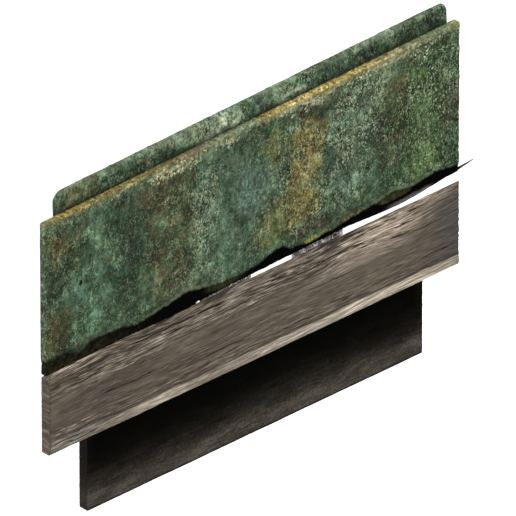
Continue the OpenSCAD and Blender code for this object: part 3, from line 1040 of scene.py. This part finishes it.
def make_lower_board():
    """The dark board behind the face board."""
    points, out, quads = board(LOWER_HIGH - LOWER_LOW, (4.5, 2.2, 4), 0.9)
    x, y, z = points.T
    # the ends and edges stand out by the swelling, and the two faces only go in
    swelling, sunk = 1.6, 1.8
    rise = grained(x, y + 0.9 * z, 500, 0.5) + swelling
    rise = np.where(np.abs(out[:, 2]) > 0.5, np.minimum(rise - sunk, 0), rise)
    points = points + out * rise[:, None] + LOWER_LOW
    return piece("stained_lower_board", points, quads, lower_board_finish(),
                 "lower_board")


# the splinter's lower line: share of the panel's length, drop below the panel's line
SPLIT_LINE = [
    (0.70, 1), (0.74, 4), (0.78, 7), (0.81, 9.5), (0.835, 10.5), (0.87, 11), (0.90, 9.5),
    (0.93, 6.5), (0.97, 3), (1.0, 1),
]
# how far the backing board's rotten edge hangs below the panel's straight lower line
SAG = [
    (0, 2), (180, 2.5), (250, 5.5), (300, 7), (361, 7), (363, 2.6), (370, 2.6), (373, 4.5),
    (430, 3), (640, 2.5), (1000, 2),
]


def make_backing():
    """The dark board inside the sheet."""
    start, end = SHEET_GAUGE, PANEL_LENGTH - SHEET_GAUGE
    height = PANEL_HEIGHT - SHEET_GAUGE
    depth = BACKING_HIGH[2] - BACKING_LOW[2]
    radius = 0.6
    xs = lines(start, end, 3.0, radius)
    # rows lie close together only where the board shows under the sheet
    ys = np.concatenate([
        radius * EDGE_SHARES, np.linspace(radius, 38, 26), np.linspace(60, height - radius, 8),
        height - radius * EDGE_SHARES[::-1],
    ])
    zs = lines(0, depth, 3.0, radius)
    points, out, quads = shell(xs, ys, zs, (start, 0, 0), (end, height, depth), radius)
    x, y = points.T[:2]
    rise = 0.9 * relief(x, y, 9, 600, 4, stretch=1.8) - 1.1 * ease(relief(x, y, 6, 610, 3), 0.3, 0.8)
    shown = ease(y, 36, 28)
    flat = np.clip(rise - 0.6, -2.0, -0.05)
    rise = np.where(np.abs(out[:, 2]) > 0.5, flat, np.clip(rise + 0.2, -1.5, 0.9))
    points = points + out * (rise * shown - 0.05 * (1 - shown))[:, None]
    points[:, 1] -= np.interp(x, *np.array(SAG, float).T) * ease(y, 12, 1)
    points[:, 1] += SLOPE * points[:, 0]
    points += (PANEL_LEFT, PANEL_FOOT, BACKING_LOW[2])
    return piece("dark_backing_board", points, quads, backing_finish(),
                 "backing_board", {"splinter": 0.0})


def make_splinter(finish):
    """The split-off sliver under the backing board, which runs out to a point past its end."""
    reach = BACKING_HIGH[0] - PANEL_LEFT
    first = SPLIT_LINE[0][0] * PANEL_LENGTH
    thick, tip_rise, tip_depth, tip_girth = 3.4, 5.0, 1.9, 0.15
    blunt = 0.4
    xs = np.linspace(first, reach - blunt, 120)
    ys = np.linspace(0, 1, 9)
    zs = np.linspace(0, 1, 5)
    x, y, z, quads = skin(xs, ys, zs)
    drops, places = np.array(SPLIT_LINE, float).T[::-1]
    low = np.interp(x, places * PANEL_LENGTH, -drops)
    past_end = (x - PANEL_LENGTH) / (reach - PANEL_LENGTH)
    low = np.where(x > PANEL_LENGTH, -1 + (tip_rise + 1) * past_end, low)
    turns = [first, 0.8 * PANEL_LENGTH, PANEL_LENGTH, reach]
    high = np.interp(x, turns, [1.0, 2.0, 5.5, tip_rise + tip_depth])
    low = low + 0.4 * relief(x, 0.5, 16, 620, 3) * ease(x, reach, reach - 30)
    girth = ease(x, reach + 4, reach - 60) * (1 - tip_girth) + tip_girth
    swell = np.sin(np.pi * np.clip(y, 0.04, 0.96)) ** 0.4
    points_y = low + (high - low) * y + SLOPE * x
    points_z = (z - 0.5) * thick * girth * swell
    points_z = points_z + 0.35 * relief(x, y * 8 + z, 4, 630, 3, stretch=8) * girth
    points = np.stack([PANEL_LEFT + x, PANEL_FOOT + points_y, BACKING_HIGH[2] - thick / 2 + points_z], 1)
    # silvered along its lower side where it has split off, and at its point
    ragged = 0.80 - 0.15 * relief(x, 0.5, 30, 640, 3)
    bared = ease(x, 812, 850) * ease(x, 945, 915) * ease(y, ragged, 0.40)
    grey = np.maximum(bared, 0.6 * ease(x, PANEL_LENGTH - 2, PANEL_LENGTH + 6))
    return piece("split_sliver", points, quads, finish, "backing_board", {"splinter": grey})


def make_bearer(number, finish):
    """One notched bearer: a block whose front follows the boards that it carries."""
    low, high = node_box(f"bearer_{number}")
    middle = (low[0] + high[0]) / 2
    lower_top = LOWER_HIGH[1] + SHOULDER_GAP
    face_top = FACE_HIGH[1] + SHOULDER_GAP
    face_back, lower_back = LOWER_HIGH[2], LOWER_LOW[2]
    face_depth = FACE_HIGH[2] - face_back
    shelf = PANEL_FOOT + PANEL_HEIGHT + SLOPE * (middle - PANEL_LEFT) - ROLL_LAP - NOTCH_GAP
    notch = ROLL_LOW[2] - NOTCH_GAP
    # front profile: places along the block and its depth there, with each step over a hair's width
    hair, clear = 0.1, 0.5
    places, depths = np.array([
        (low[1], lower_back), (lower_top, lower_back), (lower_top + hair, face_back),
        (face_top - face_depth, face_back), (face_top, PANEL_BACK),
        (shelf - (clear + hair), PANEL_BACK), (shelf - clear, notch), (high[1], notch),
    ]).T
    # the rough block ends a little past its node at the left and a little short of it at the right
    left_more, right_less, radius = 2.5, 1.0, 0.8
    xs = lines(low[0] - left_more, high[0] - right_less, 3.2, radius)
    ys = np.unique(np.concatenate([lines(low[1], high[1], 4.0, radius), places]))
    zs = np.linspace(0, 1, 13)
    x, y, z, quads = skin(xs, ys, zs)
    from_side = np.minimum(x - xs[0], xs[-1] - x)
    from_end = np.minimum(y - low[1], high[1] - y)
    inner = np.minimum(from_side, from_end)
    touching = 1e-6
    out = np.stack([
        np.sign(x - middle) * (from_side < touching), np.sign(y) * (from_end < touching), np.zeros_like(x),
    ], 1)
    # sawn roughness, which only goes into the block
    rough = 0.5 * relief(x + z * 40, y + z * 17, 6, 700 + number, 4, stretch=0.6) - 0.6
    points = np.stack([x, y, z * np.interp(y, places, depths)], 1)
    points = points + out * np.clip(rough, -1.4, -0.05)[:, None]
    points[:, 2] += np.where((z == 1) & (inner > 0.5), np.clip(rough, -1.2, -0.05), 0)
    return piece(f"rough_bearer_{number}", points, quads, finish, f"bearer_{number}")


make_crust(make_panel())
make_roll()
make_face_board()
make_lower_board()
backing = make_backing()
make_splinter(backing.data.materials[0])
grey_timber = bearer_finish()
for number in (1, 2):
    make_bearer(number, grey_timber)


# ---------------------------------------------------------------- stage
def make_floor():
    """A wide pale floor under the unit."""
    half = 30.0
    mesh = bpy.data.meshes.new("floor")
    corners = [(-half, -half, 0), (half, -half, 0), (half, half, 0), (-half, half, 0)]
    mesh.from_pydata(corners, [], [(0, 1, 2, 3)])
    finish = bpy.data.materials.new("pale_floor")
    finish.use_nodes = True
    shader = finish.node_tree.nodes["Principled BSDF"]
    looks = {
        "Base Color": (0.9, 0.9, 0.9, 1), "Roughness": 0.9, "Specular IOR Level": 0.1,
        "Emission Color": (1, 1, 1, 1), "Emission Strength": 0.7,
    }
    for name, value in looks.items():
        shader.inputs[name].default_value = value
    mesh.materials.append(finish)
    floor = placed("floor", mesh)


def make_sun(name, towards, strength, softness):
    """A distant lamp: towards points from the unit to the lamp, softness is its width in degrees."""
    lamp = bpy.data.lights.new(name, "SUN")
    lamp.energy = strength
    lamp.angle = math.radians(softness)
    made = placed(name, lamp)
    made.rotation_mode = "QUATERNION"
    made.rotation_quaternion = Vector(towards).to_track_quat("Z", "Y")


# the camera looks at the face from its left and from above, as on a wall seen from the street
VIEW_TURN = math.radians(43.05)
VIEW_HEIGHT = math.radians(30.0)
LENS = 1500.0
VIEW_WIDTH = 0.9105
VIEW_TARGET = Vector((-0.0016, 0.0792, 0.1139))

to_camera = Vector((
    -math.sin(VIEW_TURN) * math.cos(VIEW_HEIGHT),
    math.sin(VIEW_HEIGHT),
    math.cos(VIEW_TURN) * math.cos(VIEW_HEIGHT),
))


def make_camera():
    """The camera, far off with a long lens."""
    lens = bpy.data.cameras.new("camera")
    lens.lens = LENS
    lens.clip_start = 1.0
    lens.clip_end = 200.0
    camera = placed("camera", lens)
    camera.location = VIEW_TARGET + to_camera * (VIEW_WIDTH * LENS / lens.sensor_width)
    # the frame's upright is the face's own upright, which lies along +Y
    side = Vector((0, 1, 0)).cross(to_camera).normalized()
    up = to_camera.cross(side)
    camera.rotation_mode = "QUATERNION"
    camera.rotation_quaternion = Matrix((side, up, to_camera)).transposed().to_quaternion()
    bpy.context.scene.camera = camera


make_floor()
make_camera()
make_sun("key", (-0.25, 0.75, 1.0), 1.0, 14)
make_sun("fill", to_camera, 2.7, 6)
world = bpy.data.worlds.new("studio")
world.use_nodes = True
background = world.node_tree.nodes["Background"].inputs
background["Color"].default_value = (1, 1, 1, 1)
background["Strength"].default_value = 0.3
bpy.context.scene.world = world
bpy.context.scene.view_settings.view_transform = "Standard"
